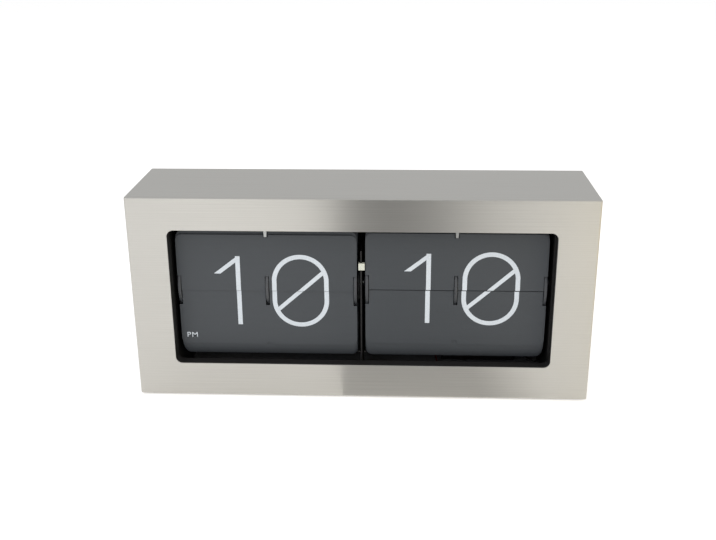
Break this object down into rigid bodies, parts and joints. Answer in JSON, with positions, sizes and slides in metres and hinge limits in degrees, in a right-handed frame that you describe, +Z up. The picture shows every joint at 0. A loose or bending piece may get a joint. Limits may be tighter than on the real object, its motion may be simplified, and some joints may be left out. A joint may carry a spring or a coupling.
{
  "type": "flip clock",
  "caption": "Box-shaped battery clock whose split leaves turn on two drums behind one wide window and show the hour and the minute.",
  "frame": {"origin": "middle of the clock's footprint, on the surface that its feet stand on", "axes": "+X to the right as seen from the front, +Y to the back, +Z up; the window faces -Y"},
  "size_m": [0.36, 0.087, 0.1675],
  "materials": {
    "case_steel": "brushed along the clock's length, clear lacquered",
    "black_steel": "black powder coat",
    "zinc_steel": "zinc-plated steel, satin",
    "black_plastic": "matt black",
    "leaf_plastic": "satin dark grey sheet, numerals printed in pale grey",
    "drum_plastic": "matt dark grey",
    "cream_nylon": "plain moulded cream",
    "brass": "plain",
    "foot_rubber": "matt",
    "board": "green lacquer",
    "cell_metal": "plain printed jacket without lettering",
    "lead_black": "insulated wire",
    "lead_red": "insulated wire"
  },
  "bodies": {
    "clock_frame": {"axle_clip_left": "zinc_steel", "axle_clip_right": "zinc_steel", "back_cover": "black_plastic", "back_screw_1": "zinc_steel", "back_screw_2": "zinc_steel", "back_screw_3": "zinc_steel", "back_screw_4": "zinc_steel", "battery": "cell_metal", "battery_holder": "black_plastic", "case_shell": "case_steel", "centre_clip": "cream_nylon", "centre_plate": "black_steel", "chassis_tray": "black_steel", "circuit_board": "board", "contact_plate": "brass", "contact_spring": "brass", "drive_bracket": "black_steel", "end_plate_left": "black_steel", "end_plate_right": "black_steel", "foot_1": "foot_rubber", "foot_2": "foot_rubber", "foot_3": "foot_rubber", "foot_4": "foot_rubber", "hour_leaf_hook": "zinc_steel", "hour_leaf_lower": "leaf_plastic", "hour_leaf_stack": "leaf_plastic", "lead_negative": "lead_black", "lead_positive": "lead_red", "main_axle": "zinc_steel", "minute_leaf_hook": "zinc_steel", "minute_leaf_lower": "leaf_plastic", "minute_leaf_stack": "leaf_plastic", "motor": "zinc_steel", "top_bar": "black_steel", "tray_screw_1": "zinc_steel", "tray_screw_2": "zinc_steel", "tray_screw_3": "zinc_steel", "tray_screw_4": "zinc_steel", "window_bezel": "black_plastic"},
    "minute_drum": {"minute_hub": "drum_plastic", "minute_disc_left": "drum_plastic", "minute_disc_middle": "drum_plastic", "minute_disc_right": "drum_plastic", "minute_gear": "cream_nylon"},
    "hour_drum": {"hour_hub": "drum_plastic", "hour_disc_left": "drum_plastic", "hour_disc_middle": "drum_plastic", "hour_disc_right": "drum_plastic", "hour_gear": "cream_nylon"},
    "carry_wheel": {"carry_gear": "cream_nylon"},
    "arbor": {"drive_arbor": "cream_nylon"},
    "motor_shaft": {"motor_pinion": "brass"},
    "setting_knob": {"setting_wheel": "drum_plastic"},
    "minute_leaf": {"minute_leaf_upper": "leaf_plastic"},
    "hour_leaf": {"hour_leaf_upper": "leaf_plastic"},
    "door": {"battery_door": "black_plastic"}
  },
  "joints": [
    {"name": "minute_drum_turn", "type": "hinge", "parent": "clock_frame", "child": "minute_drum", "pos_m": [-0.00055, -0.0109, 0.0887], "axis": [1, 0, 0], "continuous": true},
    {"name": "hour_drum_turn", "type": "hinge", "parent": "clock_frame", "child": "hour_drum", "pos_m": [-0.00055, -0.0109, 0.0887], "axis": [1, 0, 0], "continuous": true},
    {"name": "carry_wheel_turn", "type": "hinge", "parent": "clock_frame", "child": "carry_wheel", "pos_m": [-0.00055, 0.0051, 0.0887], "axis": [1, 0, 0], "continuous": true},
    {"name": "arbor_turn", "type": "hinge", "parent": "clock_frame", "child": "arbor", "pos_m": [-0.00055, -0.01659, 0.06745], "axis": [1, 0, 0], "continuous": true},
    {"name": "motor_shaft_turn", "type": "hinge", "parent": "clock_frame", "child": "motor_shaft", "pos_m": [-0.00055, -0.01659, 0.05245], "axis": [1, 0, 0], "continuous": true},
    {"name": "setting_knob_turn", "type": "hinge", "parent": "clock_frame", "child": "setting_knob", "pos_m": [-0.00055, 0.0206, 0.0887], "axis": [1, 0, 0], "continuous": true},
    {"name": "minute_leaf_fall", "type": "hinge", "parent": "clock_frame", "child": "minute_leaf", "pos_m": [0.074, -0.02977, 0.08972], "axis": [1, 0, 0], "range_deg": [0, 181]},
    {"name": "hour_leaf_fall", "type": "hinge", "parent": "clock_frame", "child": "hour_leaf", "pos_m": [-0.0751, -0.02979, 0.08804], "axis": [1, 0, 0], "range_deg": [0, 181]},
    {"name": "door_slide", "type": "slide", "parent": "clock_frame", "child": "door", "axis": [0, 0, 1], "range_m": [0, 0.029]}
  ],
  "couplings": [
    {"joint": "hour_drum_turn", "follows": "minute_drum_turn", "ratio": 0.041667},
    {"joint": "carry_wheel_turn", "follows": "minute_drum_turn", "ratio": -0.25},
    {"joint": "arbor_turn", "follows": "minute_drum_turn", "ratio": -4.5},
    {"joint": "motor_shaft_turn", "follows": "minute_drum_turn", "ratio": 18},
    {"joint": "setting_knob_turn", "follows": "minute_drum_turn", "ratio": -1.3333}
  ]
}
